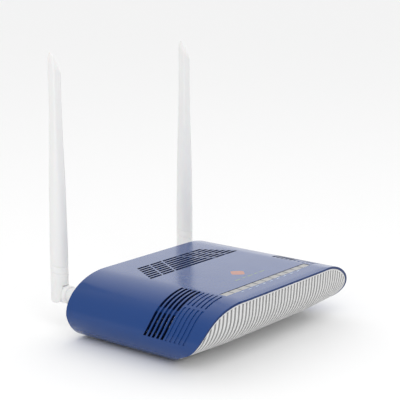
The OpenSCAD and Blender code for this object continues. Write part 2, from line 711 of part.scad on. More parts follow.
// The turning base: a stub through the rear panel, a collar, a disc and the hinge tongue
module swivel() color("#E6E6E6")
    translate([0, 0, antenna_z]) difference() {
        union() {
            rod_y(0, 0, stub_r, panel_y - 6, panel_out + 0.4);
            rod_y(0, 0, collar_r, panel_out + 0.3, disc_y + eps);
            translate([0, disc_y + 0.8, 0]) rotate([90, 0, 0]) cylinder(r1 = disc_r, r2 = disc_r - 0.8, h = 0.8);
            rod_y(0, 0, disc_r, disc_y + 0.8, tongue_root - 0.8);
            translate([0, tongue_root, 0]) rotate([90, 0, 0]) cylinder(r1 = disc_r - 0.8, r2 = disc_r, h = 0.8);
            intersection() {
                union() {
                    rod_x(hinge_y, 0, tongue_r, -tongue_w / 2, tongue_w / 2);
                    block(-tongue_w / 2, tongue_w / 2, tongue_root - 0.5, hinge_y, -tongue_r, tongue_r);
                }
                block(-10, 10, tongue_root - 0.5, hinge_y + 10, -10, 10);
            }
        }
        rod_y(0, 0, coax_bore, panel_y - 7, hinge_y);
        block(-coax_bore, coax_bore, hinge_y - coax_bore, hinge_y + 10, -coax_bore, 10);
        rod_x(hinge_y, 0, pin_r + run_gap, -10, 10);
    }

module swivel_nut() color("#B9BCBF")
    translate([0, 0, antenna_z]) difference() {
        rod_y(0, 0, 6.4, panel_y - 4.3, panel_y - 0.3);
        rod_y(0, 0, stub_r, panel_y - 5, panel_y);
    }

// Points of the route with its inner corners rounded
function smooth_route(route) =
    [route[0], for (k = [1:len(route) - 2]) each round_corner(route[k - 1], route[k], route[k + 1], coax_turn, 4),
        route[len(route) - 1]];

function tube_ring(at, along, r) =
    let (u = unit(cross(along, [0.8, -0.6, 0])), v = unit(cross(along, u)))
    [for (k = [0:coax_sides - 1]) at + r * (u * cos(360 * k / coax_sides) + v * sin(360 * k / coax_sides))];

module tube(path, r) {
    last = len(path) - 1;
    rings = [for (k = [0:last]) each tube_ring(path[k], unit(path[min(k + 1, last)] - path[max(k - 1, 0)]), r)];
    sides = [for (j = [0:last - 1], k = [0:coax_sides - 1]) let (a = j * coax_sides + k,
        b = j * coax_sides + (k + 1) % coax_sides)
        each [[a, b, a + coax_sides], [b, b + coax_sides, a + coax_sides]]];
    polyhedron(points = rings, faces = concat(sides, [[for (k = [coax_sides - 1:-1:0]) k]],
        [[for (k = [0:coax_sides - 1]) last * coax_sides + k]]));
}

module coax() color("#3B3D40") tube(smooth_route(coax_route), coax_r);

// The stretch of lead inside the antenna, from the hinge to the foot of the strip
module antenna_lead() color("#3B3D40") rod_z(0, hinge_y, coax_r, antenna_z + 2.5, antenna_z + 40);

// Puts a part of the right-hand antenna in its place; the left one is the same part moved across
module at_right() translate([antenna_x, 0, 0]) children();
module at_left() translate([-antenna_x, 0, 0]) children();

top_shell();
front_fascia();
base_tray();
rear_panel();
light_guide();
status_lamps();
main_board();
lan_jacks();
lan_contacts();
phone_jack();
phone_contacts();
usb_socket();
usb_tongue();
dc_socket();
dc_pin();
power_switch();
power_button();
reset_switch();
reset_plunger();
fibre_adapter();
fibre_ferrule();
optical_module();
side_switches();
wifi_button();
wps_button();
main_chip();
thermal_pad();
heat_sink();
memory_chips();
wifi_shields();
lan_transformers();
phone_line_chip();
power_coils();
capacitors();
antenna_sockets();
board_screws();
case_screws();
rubber_feet();
rating_label();
at_left() swivel();  // left_swivel
at_left() swivel_nut();  // left_swivel_nut
at_left() antenna_cover();  // left_antenna_cover
at_left() hinge_pins();  // left_hinge_pins
at_left() antenna_strip();  // left_antenna_strip
at_left() antenna_lead();  // left_antenna_lead
mirror([1, 0, 0]) coax();  // left_coax
at_right() swivel();  // right_swivel
at_right() swivel_nut();  // right_swivel_nut
at_right() antenna_cover();  // right_antenna_cover
at_right() hinge_pins();  // right_hinge_pins
at_right() antenna_strip();  // right_antenna_strip
at_right() antenna_lead();  // right_antenna_lead
coax();  // right_coax
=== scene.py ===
import bisect
import json
import math

import bmesh
import bpy
import numpy as np
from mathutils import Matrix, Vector

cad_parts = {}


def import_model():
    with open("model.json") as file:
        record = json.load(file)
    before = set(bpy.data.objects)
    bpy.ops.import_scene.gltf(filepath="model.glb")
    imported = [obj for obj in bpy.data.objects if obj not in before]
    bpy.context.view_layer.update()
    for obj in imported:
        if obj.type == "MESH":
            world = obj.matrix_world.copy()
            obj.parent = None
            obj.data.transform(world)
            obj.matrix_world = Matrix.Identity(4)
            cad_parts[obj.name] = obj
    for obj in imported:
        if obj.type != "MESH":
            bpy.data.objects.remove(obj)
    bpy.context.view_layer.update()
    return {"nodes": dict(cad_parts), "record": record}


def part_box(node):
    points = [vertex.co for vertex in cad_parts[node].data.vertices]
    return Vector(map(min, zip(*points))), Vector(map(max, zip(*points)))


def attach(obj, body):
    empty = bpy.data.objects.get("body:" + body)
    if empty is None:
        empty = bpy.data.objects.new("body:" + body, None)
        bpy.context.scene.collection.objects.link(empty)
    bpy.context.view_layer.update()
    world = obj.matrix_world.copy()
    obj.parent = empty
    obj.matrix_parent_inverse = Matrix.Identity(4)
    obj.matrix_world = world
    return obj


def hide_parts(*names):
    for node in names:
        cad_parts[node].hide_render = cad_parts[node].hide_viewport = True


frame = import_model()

MM = 0.001

# ---- places, read from the frame, in millimetres ----

shell_low, shell_high = (np.array(corner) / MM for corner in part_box("top_shell"))
HALF_W = shell_high[0]
FRONT = shell_low[1]
REAR = shell_high[1]
UNDER = shell_low[2]
BODY_H = shell_high[2] - UNDER
DEPTH = REAR - FRONT
TRAY_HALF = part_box("base_tray")[1].x / MM
TRAY_TABS = 3.0       # the tray's front tabs reach this far under the fascia
TRAY_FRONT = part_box("base_tray")[0].y / MM - FRONT + TRAY_TABS


# ---- shape of the case; heights are above the underside, depths behind the front ----

FLAT_HALF = 51.2      # half width of the flat stretch of the top
WAIST = 19.4          # height of the widest level
LOWER_REACH = 17.3    # inward reach of the lower end curve
LOWER_POWER = 1.6     # squareness of the lower end curve; 2 is an ellipse
WALL, RIM_WALL, RIM_DEEP = 2.4, 1.8, 5.5   # shell thickness, and how it thins near the front
SHELL_LIP_HALF, LIP_LAND = 73.6, 1.3       # where the shell ends on the underside, and its first strip
CREASE, LIP_DROP = 4.1, 0.35   # where the top starts to slope down to the lip, and by how much
CHIN, CHIN_H, CHIN_R = 1.8, 17.5, 30.0   # depth of the chin below the lip, its height and radius
TOE, TOE_R = 41.0, 12.0                  # where the front meets the underside
SWEEP_FROM, SWEEP_SLOPE, SWEEP_R = 50.0, 0.085, 80.0   # how the ends stand back, seen from above
FASCIA_GAP = 1.95     # from the shell's outside to the fascia's edge
FASCIA_SET_BACK = 0.4
UNDER_EDGE = 0.4      # height of the front edges where they curl under at the two ends
CHIN_STEPS, TOE_STEPS, SWEEP_STEPS = 24, 10, 12    # points on each rounded bend
HEEL_RUN, SWEEP_RUN = 20, 50   # lengths of the straight stretches drawn past the toe and the sweep


def rounded_corner(before, corner, after, radius, steps):
    """Points of the arc that rounds a corner."""
    u, v = before - corner, after - corner
    u, v = u / np.linalg.norm(u), v / np.linalg.norm(v)
    half = math.acos(float(u @ v)) / 2
    middle = corner + (u + v) / np.linalg.norm(u + v) * radius / math.sin(half)
    first = corner + u * radius / math.tan(half) - middle
    last = corner + v * radius / math.tan(half) - middle
    sweep = math.acos(float(first @ last) / radius ** 2)
    shares = np.linspace(0, 1, steps)
    return [middle + (first * math.sin((1 - s) * sweep) + last * math.sin(s * sweep)) / math.sin(sweep)
            for s in shares]


def front_profile():
    """The front seen from the side, as [depth, height], from the lip round the chin to the underside."""
    lip, chin = np.array([0.0, BODY_H]), np.array([CHIN, CHIN_H])
    toe, heel = np.array([TOE, 0.0]), np.array([TOE + HEEL_RUN, 0.0])
    return np.array([lip, *rounded_corner(lip, chin, toe, CHIN_R, CHIN_STEPS),
                     *rounded_corner(chin, toe, heel, TOE_R, TOE_STEPS), heel])


def front_sweep(x):
    """How far the front stands back at x, seen from above."""
    middle, bend = np.array([0.0, 0.0]), np.array([SWEEP_FROM, 0.0])
    tip = bend + np.array([SWEEP_RUN, SWEEP_RUN * SWEEP_SLOPE])
    line = np.array([middle, *rounded_corner(middle, bend, tip, SWEEP_R, SWEEP_STEPS), tip])
    return np.interp(np.abs(x), line[:, 0], line[:, 1])


PROFILE = front_profile()


def front_depth(x, height):
    """Depth of the front at a point of the case seen from the front."""
    return np.interp(-height, -PROFILE[:, 1], PROFILE[:, 0]) + front_sweep(x)


def upper_end(angle, inset=0.0):
    """A point of the outline from the waist (0) up to the top face (90 degrees), as (x, height)."""
    a = math.radians(angle)
    return (FLAT_HALF + (HALF_W - FLAT_HALF - inset) * math.cos(a),
            WAIST + (BODY_H - WAIST - inset) * math.sin(a))


def lower_end(angle, inset=0.0):
    """A point of the outline from the waist (0) down to the underside (90 degrees)."""
    a = math.radians(angle)
    return (HALF_W - LOWER_REACH + (LOWER_REACH - inset) * math.cos(a) ** (2 / LOWER_POWER),
            WAIST - (WAIST - inset) * math.sin(a) ** (2 / LOWER_POWER))


def top_height(x, inset=0.0):
    """Height of the upper surface at x."""
    reach = np.clip((np.abs(x) - FLAT_HALF) / (HALF_W - FLAT_HALF - inset), 0, 1)
    return WAIST + (BODY_H - WAIST - inset) * np.sqrt(1 - reach ** 2)


def low_height(x, inset=0.0):
    """Height of the lower end curve at x."""
    reach = np.clip((np.abs(x) - HALF_W + LOWER_REACH) / (LOWER_REACH - inset), 0, 1)
    return WAIST - (WAIST - inset) * (1 - reach ** LOWER_POWER) ** (1 / LOWER_POWER)


def wall_x(height, inset=0.0):
    """Half width of the lower end curve at a height."""
    drop = np.clip((WAIST - height) / (WAIST - inset), 0, 1)
    return HALF_W - LOWER_REACH + (LOWER_REACH - inset) * (1 - drop ** LOWER_POWER) ** (1 / LOWER_POWER)


# ---- mesh helpers ----

BEVEL_ANGLE = 35.0    # edges sharper than this are softened
SHELL_SHARP, FASCIA_SHARP, ANTENNA_SHARP = 32, 35, 38    # edges sharper than this are shaded as edges
FASCIA_WELD, ANTENNA_WELD = 0.001, 0.002                 # points closer than this become one


class Solid:
    """Collects vertices and faces in millimetres and turns them into a piece."""

    def __init__(self):
        self.points, self.faces, self.slots, self.bevels = [], [], [], {}

    def point(self, x, y, z):
        self.points.append((x, y, z))
        return len(self.points) - 1

    def face(self, *corners, slot=0):
        self.faces.append(corners)
        self.slots.append(slot)

    def loft(self, rings, closed=True):
        """Faces between rings of equally many points."""
        for low, high in zip(rings, rings[1:]):
            count = len(low)
            for k in range(count if closed else count - 1):
                n = (k + 1) % count
                self.face(low[k], low[n], high[n], high[k])

    def ring(self, points):
        return [self.point(*p) for p in points]

    def cap(self, ring):
        self.face(*ring)

    def prism(self, outline, low, high):
        """A closed upright solid between two heights, over an outline of (x, y) points."""
        rings = [self.ring([(x, y, z) for x, y in outline]) for z in (low, high)]
        self.loft(rings)
        self.cap(rings[0][::-1])
        self.cap(rings[1])

    def bevel_edge(self, a, b, weight):
        self.bevels[frozenset((a, b))] = weight

    def piece(self, name, materials, weld=0.0, sharp=30.0):
        mesh = bpy.data.meshes.new(name)
        mesh.from_pydata([tuple(np.array(p) * MM) for p in self.points], [], self.faces)
        for polygon, slot in zip(mesh.polygons, self.slots):
            polygon.material_index = slot
        if self.bevels:
            weights = mesh.attributes.new("bevel_weight_edge", "FLOAT", "EDGE")
            for edge in mesh.edges:
                weights.data[edge.index].value = self.bevels.get(frozenset(edge.vertices), 0.0)
        obj = bpy.data.objects.new(name, mesh)
        bpy.context.scene.collection.objects.link(obj)
        for material in materials:
            mesh.materials.append(material)
        tidy(mesh, weld, sharp)
        return obj


def tidy(mesh, weld=0.0, sharp=30.0):
    """Welds, turns the faces outward, and shades smooth up to an angle."""
    bm = bmesh.new()
    bm.from_mesh(mesh)
    if weld:
        bmesh.ops.remove_doubles(bm, verts=bm.verts, dist=weld * MM)
        bmesh.ops.dissolve_degenerate(bm, dist=weld * MM * 0.5, edges=bm.edges)
    bmesh.ops.recalc_face_normals(bm, faces=bm.faces)
    bm.to_mesh(mesh)
    bm.free()
    mesh.shade_smooth()
    mesh.set_sharp_from_angle(angle=math.radians(sharp))


def bevel(obj, width, segments=2, by_weight=False):
    m = obj.modifiers.new("edges", "BEVEL")
    m.width = width * MM
    m.segments = segments
    m.limit_method = "WEIGHT" if by_weight else "ANGLE"
    m.angle_limit = math.radians(BEVEL_ANGLE)
    m.harden_normals = True


def bake(obj):
    """Applies the modifiers of a piece."""
    graph = bpy.context.evaluated_depsgraph_get()
    made = bpy.data.meshes.new_from_object(obj.evaluated_get(graph), depsgraph=graph)
    old = obj.data
    obj.modifiers.clear()
    obj.data = made
    bpy.data.meshes.remove(old)
    return obj


def cut(obj, tool):
    """Cuts another object out of a piece. The other object is then removed."""
    m = obj.modifiers.new("cut", "BOOLEAN")
    m.operation = "DIFFERENCE"
    m.solver = "EXACT"
    m.object = tool
    bake(obj)
    bpy.data.objects.remove(tool)


def rectangle(low, high):
    return [(low[0], low[1]), (high[0], low[1]), (high[0], high[1]), (low[0], high[1])]


def block(name, low, high):
    """A plain box between two corners, used only as a cutter."""
    s = Solid()
    s.prism(rectangle(low, high), low[2], high[2])
    return s.piece(name, [])


# ---- materials ----

ROUGH_SPREAD = 0.05    # how far the roughness strays either way
GRAIN_SCALE, GRAIN_HEIGHT = 2500, 0.00005
COAT_ROUGHNESS = 0.1
DRAWN_LINES, LINE_HEIGHT = (40, 900, 900), 0.00004
MIX_A, MIX_B, MIX_OUT = 6, 7, 2        # the colour sockets of a Mix node
SCATTER = 0.002        # reach of light inside a surface that lets some in, in metres


def noise(nodes, links, place, scale, detail):
    texture = nodes.new("ShaderNodeTexNoise")
    texture.inputs["Scale"].default_value = scale
    texture.inputs["Detail"].default_value = detail
    links.new(place, texture.inputs["Vector"])
    return texture.outputs["Fac"]


def roughen(nodes, links, shader, height, strength, distance):
    bump = nodes.new("ShaderNodeBump")
    bump.inputs["Strength"].default_value = strength
    bump.inputs["Distance"].default_value = distance
    links.new(height, bump.inputs["Height"])
    links.new(bump.outputs["Normal"], shader.inputs["Normal"])


def material(name, colour, roughness, metallic=0.0, ior=1.5, coat=0.0, grain=0.0, mottle=0.03,
             mottle_scale=60.0, subsurface=0.0, scratch=0.0):
    """A moulded, printed or metal finish: soft colour drift, uneven gloss and a fine surface grain."""
    m = bpy.data.materials.new(name)
    m.use_nodes = True
    nodes, links = m.node_tree.nodes, m.node_tree.links
    shader = nodes["Principled BSDF"]
    shader.inputs["Metallic"].default_value = metallic
    shader.inputs["IOR"].default_value = ior
    shader.inputs["Coat Weight"].default_value = coat
    shader.inputs["Coat Roughness"].default_value = COAT_ROUGHNESS
    shader.inputs["Subsurface Weight"].default_value = subsurface
    shader.inputs["Subsurface Scale"].default_value = SCATTER
    place = nodes.new("ShaderNodeTexCoord").outputs["Object"]

    tone = nodes.new("ShaderNodeMix")
    tone.data_type = "RGBA"
    tone.inputs[MIX_A].default_value = (*[c * (1 - mottle) for c in colour], 1)
    tone.inputs[MIX_B].default_value = (*[min(1, c * (1 + mottle)) for c in colour], 1)
    links.new(noise(nodes, links, place, mottle_scale, 4), tone.inputs["Factor"])
    links.new(tone.outputs[MIX_OUT], shader.inputs["Base Color"])

    spread = nodes.new("ShaderNodeMapRange")
    spread.inputs["To Min"].default_value = max(0.02, roughness - ROUGH_SPREAD)
    spread.inputs["To Max"].default_value = min(1, roughness + ROUGH_SPREAD)
    links.new(noise(nodes, links, place, mottle_scale * 2.3, 6), spread.inputs["Value"])
    links.new(spread.outputs["Result"], shader.inputs["Roughness"])

    if grain:
        roughen(nodes, links, shader, noise(nodes, links, place, GRAIN_SCALE, 3), grain, GRAIN_HEIGHT)
    if scratch:                # fine drawn lines, for plated sheet metal
        stretch = nodes.new("ShaderNodeMapping")
        stretch.inputs["Scale"].default_value = DRAWN_LINES
        links.new(place, stretch.inputs["Vector"])
        lines = noise(nodes, links, stretch.outputs["Vector"], 6, 5)
        roughen(nodes, links, shader, lines, scratch, LINE_HEIGHT)
    return m


WHITE_ABS = {"colour": (0.72, 0.72, 0.718), "roughness": 0.45, "mottle": 0.015}

MATERIALS = {
    "blue_shell": material("blue_abs", (0.005, 0.047, 0.206), 0.20, ior=1.42, grain=0.06, mottle=0.05,
                           mottle_scale=25),
    "white_case": material("white_abs", **WHITE_ABS),
    "antenna_white": material("antenna_abs", (0.83, 0.83, 0.825), 0.36, grain=0.08, mottle=0.01,
                              subsurface=0.05),
    "lamp_window": material("milky_window", (0.34, 0.34, 0.335), 0.35, ior=1.42, mottle=0.05,
                            mottle_scale=300),
    "lamp": material("lamp_resin", (0.85, 0.80, 0.5), 0.15, coat=0.5),
    "circuit_board": material("solder_mask", (0.012, 0.10, 0.04), 0.3, coat=0.3, mottle=0.15,
                              mottle_scale=400),
    "socket_black": material("socket_nylon", (0.016, 0.016, 0.018), 0.45, grain=0.3),
    "gold_contact": material("gold_flash", (0.83, 0.60, 0.24), 0.22, metallic=1),
    "plated_steel": material("tin_plate", (0.62, 0.62, 0.64), 0.28, metallic=1, scratch=0.5),
    "white_insert": material("insert_nylon", (0.78, 0.78, 0.77), 0.4, grain=0.1),
    "button_black": material("button_abs", (0.02, 0.02, 0.022), 0.38, grain=0.3),
    "green_adapter": material("adapter_green", (0.02, 0.26, 0.08), 0.33, grain=0.1),
    "ceramic_sleeve": material("zirconia", (0.82, 0.81, 0.77), 0.12, subsurface=0.1),
    "gold_can": material("plated_can", (0.70, 0.56, 0.30), 0.3, metallic=1, scratch=0.3),
    "chip_black": material("epoxy", (0.022, 0.022, 0.024), 0.5, grain=0.5),
    "thermal_pad": material("silicone_pad", (0.25, 0.31, 0.37), 0.7, grain=0.5),
    "heat_sink": material("anodised_fins", (0.45, 0.45, 0.47), 0.4, metallic=1, scratch=0.4),
    "capacitor": material("sleeve", (0.10, 0.11, 0.14), 0.35, coat=0.3),
    "screw_steel": material("zinc_plate", (0.55, 0.55, 0.56), 0.3, metallic=1, scratch=0.4),
    "foot_rubber": material("foot_rubber", (0.025, 0.025, 0.026), 0.8, grain=0.6),
    "label_paper": material("label_film", (0.80, 0.80, 0.79), 0.35, coat=0.2),
    "coax_grey": material("lead_jacket", (0.06, 0.06, 0.065), 0.5, grain=0.2),
}
# painted shade: grey for the deep faces and walls of the fascia's grooves
GROOVE_SHADE_GREY = material("groove_painted_shade", (0.42, 0.42, 0.42), 0.6, mottle=0.015)
# painted shade: a darker blue for the front rim face, the recessed bridges of the open slots and the shell's
# inner surface
SHADE_BLUE = material("blue_painted_shade", (0.001, 0.024, 0.125), 0.45, ior=1.35, grain=0.06)
# painted shade: a near-black blue for the walls of the cut-through slots, vents and lamp opening
SLOT_SHADE_BLUE = material("slot_blue_painted_shade", (0.001, 0.009, 0.056), 0.6, ior=1.3)
# painted shade: near-black for the notches between the lamp windows
SEPARATOR_SHADE = material("separator_painted_shade", (0.10, 0.11, 0.13), 0.6, ior=1.3)
PRINT_ORANGE = material("orange_print", (0.36, 0.10, 0.045), 0.2, ior=1.42, mottle=0.04)
PRINT_GREEN = material("green_print", (0.09, 0.17, 0.08), 0.2, ior=1.42, mottle=0.04)
PRINT_PALE = material("pale_print", (0.32, 0.42, 0.55), 0.2, ior=1.42, mottle=0.03)

# painted shade: the colour the tray's inner side turns to above a height, standing in for the shade inside
# the case
TRAY_SHADE_COLOUR = (0.03, 0.03, 0.032, 1)
TRAY_SHADE_FROM, TRAY_SHADE_OVER = 1.9, 0.4    # above the underside, and how fast it turns dark


def paint_shade_inside(paint, height):
    """Paints shade over a paint above a height: the inner side of the tray turns dark, as painted shade."""
    nodes, links = paint.node_tree.nodes, paint.node_tree.links
    shader = nodes["Principled BSDF"]
    colour = shader.inputs["Base Color"].links[0].from_socket
    place, split = nodes.new("ShaderNodeTexCoord"), nodes.new("ShaderNodeSeparateXYZ")
    step, mix = nodes.new("ShaderNodeMapRange"), nodes.new("ShaderNodeMix")
    step.inputs["From Min"].default_value = height * MM
    step.inputs["From Max"].default_value = (height + TRAY_SHADE_OVER) * MM
    mix.data_type = "RGBA"
    mix.inputs[MIX_B].default_value = TRAY_SHADE_COLOUR
    links.new(place.outputs["Object"], split.inputs["Vector"])
    links.new(split.outputs["Z"], step.inputs["Value"])
    links.new(step.outputs["Result"], mix.inputs["Factor"])
    links.new(colour, mix.inputs[MIX_A])
    links.new(mix.outputs[MIX_OUT], shader.inputs["Base Color"])
    return paint


# the tray's paint, with painted shade on its inner side
TRAY_SHADED_ABS = paint_shade_inside(material("tray_abs_painted_shade", **WHITE_ABS), UNDER + TRAY_SHADE_FROM)

SLOT_OF = {s["node"]: s["material_slot"] for s in frame["record"]["subparts"]}
for node, obj in frame["nodes"].items():
    for k in range(len(obj.material_slots)):
        obj.material_slots[k].material = TRAY_SHADED_ABS if node == "base_tray" else MATERIALS[SLOT_OF[node]]


# ---- top shell ----

SLOT_PITCH, SLOT_W, SLOTS, OPEN_SLOTS = 3.93, 2.3, 10, 5    # the rear ones are open
REAR_SLOT = 52.5      # depth of the rearmost side slot
SLOT_LOW = 19.4       # height of the lower ends of the side slots
SLOT_TOP_X = 55.8     # where they end on the top
SLOT_BEND_FROM, SLOT_BEND = 33.5, 1 / 45   # below this height they bend back
BRIDGE_LOW, BRIDGE_HIGH = 35.9, 38.5   # the recessed bar across each open slot
SPLIT_LOW, SPLIT_HIGH = 40.6, 41.6     # the gap between the two blind halves of each of the others
FAINT_DEPTH, BLIND_DEPTH = 0.6, 1.0           # how deep the lower and upper blind halves are
FAINT_NARROWER, BLIND_NARROWER = 0.3, 0.5     # how much each of their sides comes in
VENT_FRONT, VENT_PITCH, VENT_W, VENT_ROWS = 86.8, 4.1, 2.5, 7
VENT_START = VENT_FRONT - VENT_W / 2
VENT_END = VENT_FRONT + (VENT_ROWS - 1) * VENT_PITCH + VENT_W / 2
VENT_SLANT = -0.567   # how far the slot ends move sideways for each mm to the rear
LAMP_MID, LAMP_OPENING, LAMP_EDGE_X = 18.6, 6.4, 53.2   # depth, width and half length of the window
VENT_EDGES = [LAMP_EDGE_X, 40.2, 38.6, 25.5, 23.8]      # x of the slot ends where the vent begins
WIDE_CELL = 5         # a stretch between them that is wider than this gets lines of its own
SLOTS_FADE = 82       # behind this depth the lines run straight across
LIP_DEPTHS = [0, 1.3, 2.7, CREASE, 6.5, 9.7, 13]     # grid lines ahead of the side slots
MIDDLE_DEPTHS = [56.5, 60.5, 65, 70, 75, 79, 82.6]   # between them and the vent
REAR_DEPTHS = [115, 119, 123, 127, 130.5, 132.5, DEPTH]
LOWER_STEP, UPPER_STEP = 4.5, 2.4      # degrees between the grid lines round the ends
FLUSH, FAINT, BLIND, OPEN = range(4)   # how deep a cell of the outer surface lies
# the second slot is a darker blue of painted shade, the third a still darker blue of painted shade for the
# walls of the openings
PLAIN, SHADE_PAINT, SLOT_SHADE_PAINT = range(3)    # the shell's material slots
RIM_SOFT, RIM_INNER_SOFT, EDGE_SOFT, SLOT_SOFT, BUTTON_SOFT = 0.45, 0.2, 0.6, 0.14, 0.36   # bevel weights
SHELL_BEVEL = 0.5     # width of a bevel of weight 1
BUTTON_HOLE_R, BUTTON_HOLE_EDGE = 2.9, 0.6
BUTTON_HOLE_MARGIN = 4.3               # how far from its middle the grid gives way to a hole


def upper_angle(height):
    return math.degrees(math.asin((height - WAIST) / (BODY_H - WAIST)))


def spread_between(stops, step):
    """The stops with evenly spaced values added between them."""
    out = [stops[0]]
    for a, b in zip(stops, stops[1:]):
        count = max(1, round(abs(b - a) / step))
        out += [a + (b - a) * (k + 1) / count for k in range(count)]
    return out


def shell_lines():
    """Lines that run from front to rear over the right half, from the underside to the middle of the
    top. Each is a function of depth and inset that gives (x, height), with a name where one matters."""
    lines = [(lambda y, t, x=x: (x, t), None) for x in (SHELL_LIP_HALF, SHELL_LIP_HALF + LIP_LAND)]
    for angle in spread_between([90, 0], LOWER_STEP)[:-1]:
        lines.append((lambda y, t, a=angle: lower_end(a, t), None))
    stops = {0: None, upper_angle(SLOT_LOW): "slot_low", upper_angle(BRIDGE_LOW): "bridge_low",
             upper_angle(BRIDGE_HIGH): "bridge_high", upper_angle(SPLIT_LOW): "split_low",
             upper_angle(SPLIT_HIGH): "split_high",
             math.degrees(math.acos((SLOT_TOP_X - FLAT_HALF) / (HALF_W - FLAT_HALF))): "slot_top"}
    for angle in spread_between(list(stops), UPPER_STEP):
        lines.append((lambda y, t, a=angle: upper_end(a, t), stops.get(angle)))

    def on_top(x_of):
        return lambda y, t: (x_of(y), float(top_height(x_of(y), t)))

    def vent_edge(y, x):
        return x + VENT_SLANT * (np.clip(y, VENT_START, VENT_END) - VENT_START)

    def between_slots_and_lamps(y, share):
        return SLOT_TOP_X + (vent_edge(y, LAMP_EDGE_X) - SLOT_TOP_X) * share

    for share in (0.3, 0.6, 0.85):
        lines.append((on_top(lambda y, s=share: between_slots_and_lamps(y, s)), None))
    inner = VENT_EDGES[-1]
    for a, b in zip(VENT_EDGES, VENT_EDGES[1:] + [inner]):
        lines.append((on_top(lambda y, x=a: vent_edge(y, x)), f"vent_{a}"))
        if a - b > WIDE_CELL:
            for s in (0.25, 0.5, 0.75):
                lines.append((on_top(lambda y, x=a + (b - a) * s: vent_edge(y, x)), None))
    for share in (0.75, 0.5, 0.25, 0):
        lines.append((on_top(lambda y, s=share: vent_edge(y, inner) * s), None))
    return lines


def shell_stations():
    """Depths of the lines that run across the shell, with the side slots and the vent rows as bands."""
    slots = [REAR_SLOT - k * SLOT_PITCH for k in range(SLOTS)][::-1]
    rows = [VENT_FRONT + k * VENT_PITCH for k in range(VENT_ROWS)]
    depths = list(LIP_DEPTHS)
    slot_at, row_at = [], []
    for y in slots:
        slot_at.append(len(depths))
        depths += [y - SLOT_W / 2, y + SLOT_W / 2]
    depths += MIDDLE_DEPTHS
    for y in rows:
        row_at.append(len(depths))
        depths += [y - VENT_W / 2, y + VENT_W / 2]
    depths += REAR_DEPTHS
    return depths, slot_at[::-1], row_at


